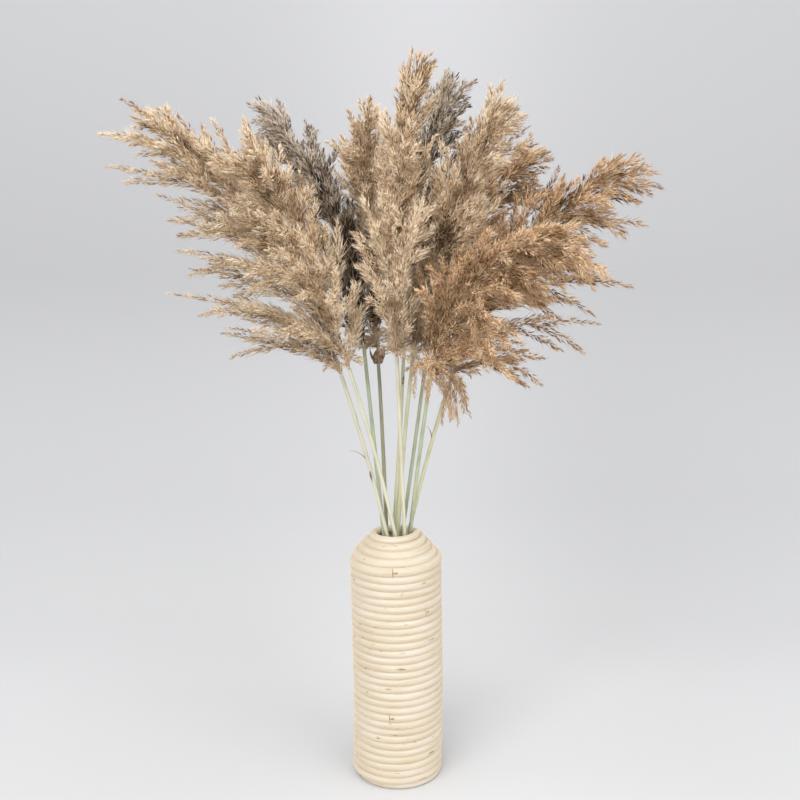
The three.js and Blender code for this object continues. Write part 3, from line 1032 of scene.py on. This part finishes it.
def leaf_rings(leaf):
    """Rings of six points along a narrow pointed leaf that curls away from its stalk."""
    number, share, turn, length, width, lean, curl = leaf
    points, ways = bow(*STEMS[number - 1]["stalk"], [share])
    turn = math.radians(turn)
    out = np.array([math.cos(turn), math.sin(turn), 0])
    out = unit(out - ways[0] * np.dot(out, ways[0]))
    side = np.cross(ways[0], out)
    at = points[0] + out * STALK_HEAD_RADIUS
    rings = []
    for step in range(LEAF_STEPS + 1):
        t = step / LEAF_STEPS
        angle = math.radians(lean + curl * t)
        way = ways[0] * math.cos(angle) + out * math.sin(angle)
        face = np.cross(side, way)
        half = width / 2 * (math.sin(math.pi * min(t + LEAF_START, 1)) ** LEAF_FULLNESS + LEAF_TIP)
        ring = []
        for across, thick in LEAF_SECTION:
            cup = LEAF_CUP * half * across**2
            ring.append(at + side * across * half + face * (thick * LEAF_THICK / 2 + cup))
        rings.append(ring)
        at = at + way * length / LEAF_STEPS
    return rings


def withered_leaves(material):
    """The withered leaves that are left on the stalks."""
    points = []
    faces = []
    count = len(LEAF_SECTION)
    for leaf in WITHERED_LEAVES:
        rings = leaf_rings(leaf)
        for ring in rings:
            points += ring
        first = len(points) - count * len(rings)
        for row in range(len(rings) - 1):
            for i in range(count):
                a = first + count * row + i
                b = first + count * row + (i + 1) % count
                faces.append((a, b, b + count, a + count))
        faces.append(tuple(first + i for i in reversed(range(count))))
        faces.append(tuple(len(points) - count + i for i in range(count)))
    mesh = bpy.data.meshes.new("withered_leaves")
    mesh.from_pydata(np.array(points) * MM, [], faces)
    mesh.materials.append(material)
    mesh.shade_smooth()
    piece = bpy.data.objects.new("withered_leaves", mesh)
    bpy.context.collection.objects.link(piece)
    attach(piece, "root")


def leaf_finish():
    """Withered leaf: thin, brown and dull, blotched along its length."""
    material, tree, out = finish("withered_leaf")
    place = add(tree, "ShaderNodeTexCoord")
    blotch = add(
        tree,
        "ShaderNodeTexNoise",
        {"Vector": place.outputs["Object"], "Scale": 1 / (LEAF_BLOTCH * MM), "Detail": 3},
    )
    ramp = add(tree, "ShaderNodeValToRGB", {"Fac": blotch.outputs["Fac"]})
    ramp.color_ramp.elements[0].position = 0.35
    ramp.color_ramp.elements[0].color = linear("#5d4434")
    ramp.color_ramp.elements[1].position = 0.7
    ramp.color_ramp.elements[1].color = linear("#a98a70")
    skin = add(tree, "ShaderNodeBsdfPrincipled", {"Base Color": ramp.outputs[0], "Roughness": 0.8})
    tree.links.new(skin.outputs[0], out.inputs["Surface"])
    return material


# Stage, light and camera


def sweep():
    """A floor that curves up into a wall behind the object."""
    depth = [SWEEP_FRONT, SWEEP_BACK]
    rise = [0.0, 0.0]
    for step in range(1, SWEEP_STEPS + 1):
        angle = math.radians(90) * step / SWEEP_STEPS
        depth.append(SWEEP_BACK + SWEEP_BEND * math.sin(angle))
        rise.append(SWEEP_BEND - SWEEP_BEND * math.cos(angle))
    depth.append(depth[-1])
    rise.append(SWEEP_TOP)
    points = [(x, y, z) for y, z in zip(depth, rise) for x in (-SWEEP_HALF, SWEEP_HALF)]
    faces = [(2 * i, 2 * i + 1, 2 * i + 3, 2 * i + 2) for i in range(len(depth) - 1)]
    mesh = bpy.data.meshes.new("sweep")
    mesh.from_pydata(points, [], faces)
    mesh.materials.append(stage_finish())
    mesh.shade_smooth()
    floor = bpy.data.objects.new("sweep", mesh)
    bpy.context.collection.objects.link(floor)


def softbox(name, place, aim, size, watts):
    """A rectangular lamp turned to its aim."""
    light = bpy.data.lights.new(name, "AREA")
    light.shape = "RECTANGLE"
    light.size, light.size_y = size
    light.energy = watts
    lamp = bpy.data.objects.new(name, light)
    lamp.location = place
    way = np.array(aim) - np.array(place)
    yaw = math.atan2(way[0], -way[1])
    lamp.rotation_euler = (math.atan2(math.hypot(way[0], way[1]), -way[2]), 0, yaw + math.pi)
    bpy.context.collection.objects.link(lamp)


def light():
    """Even light from all round, and three softboxes."""
    world = bpy.data.worlds.new("studio")
    world.use_nodes = True
    background = world.node_tree.nodes["Background"]
    background.inputs["Color"].default_value = linear(SKY)
    background.inputs["Strength"].default_value = SKY_STRENGTH
    bpy.context.scene.world = world
    for name, (place, aim, size, watts) in LAMPS.items():
        softbox(name, place, aim, size, watts)


def camera():
    """The camera, in front of the object and looking slightly down."""
    lens = bpy.data.cameras.new("camera")
    lens.lens = CAMERA_LENS
    lens.sensor_width = CAMERA_SENSOR
    eye = bpy.data.objects.new("camera", lens)
    eye.location = CAMERA_PLACE
    eye.rotation_euler = (math.radians(90) - CAMERA_DOWN, 0, 0)
    bpy.context.collection.objects.link(eye)
    bpy.context.scene.camera = eye


def main():
    """Stage and light, then the vase, the stalks with their plumes, and the withered leaves."""
    bpy.context.scene.view_settings.view_transform = "Standard"
    camera()
    light()
    sweep()
    rods = rod_tree()
    plumes = plume_tree(rods, bristle_tree())
    vase(rods, cane_finish())
    lay_out(STEMS)
    plume_finishes = {name: plume_finish(name, *colours) for name, colours in PLUME_COLOURS.items()}
    twig = stalk_finish("plume_twig", *TWIG_COLOURS)
    culm_finishes = {name: stalk_finish(name, *colours) for name, colours in CULM_COLOURS.items()}
    for stem in STEMS:
        number = f"{stem['number']:02d}"
        lines, numbers = stalk_lines(stem)
        values = {"Sides": STALK_SIDES, "Material": culm_finishes[stem["culm"] + "_culm"]}
        piece = grown(f"culm_{number}", polylines("culm", lines, numbers), rods, values)
        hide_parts(f"stalk_{number}")
        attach(piece, "root")
        lines, numbers = plume_lines(stem)
        values = {
            "Seed": 100 * stem["number"],
            "Twig Material": twig,
            "Spikelet Material": plume_finishes[stem["tone"] + "_plume"],
            "Silk Material": plume_finishes[stem["tone"] + "_silk"],
        }
        piece = grown(f"head_{number}", polylines("head", lines, numbers), plumes, values)
        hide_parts(f"plume_{number}")
        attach(piece, "root")
    withered_leaves(leaf_finish())


main()
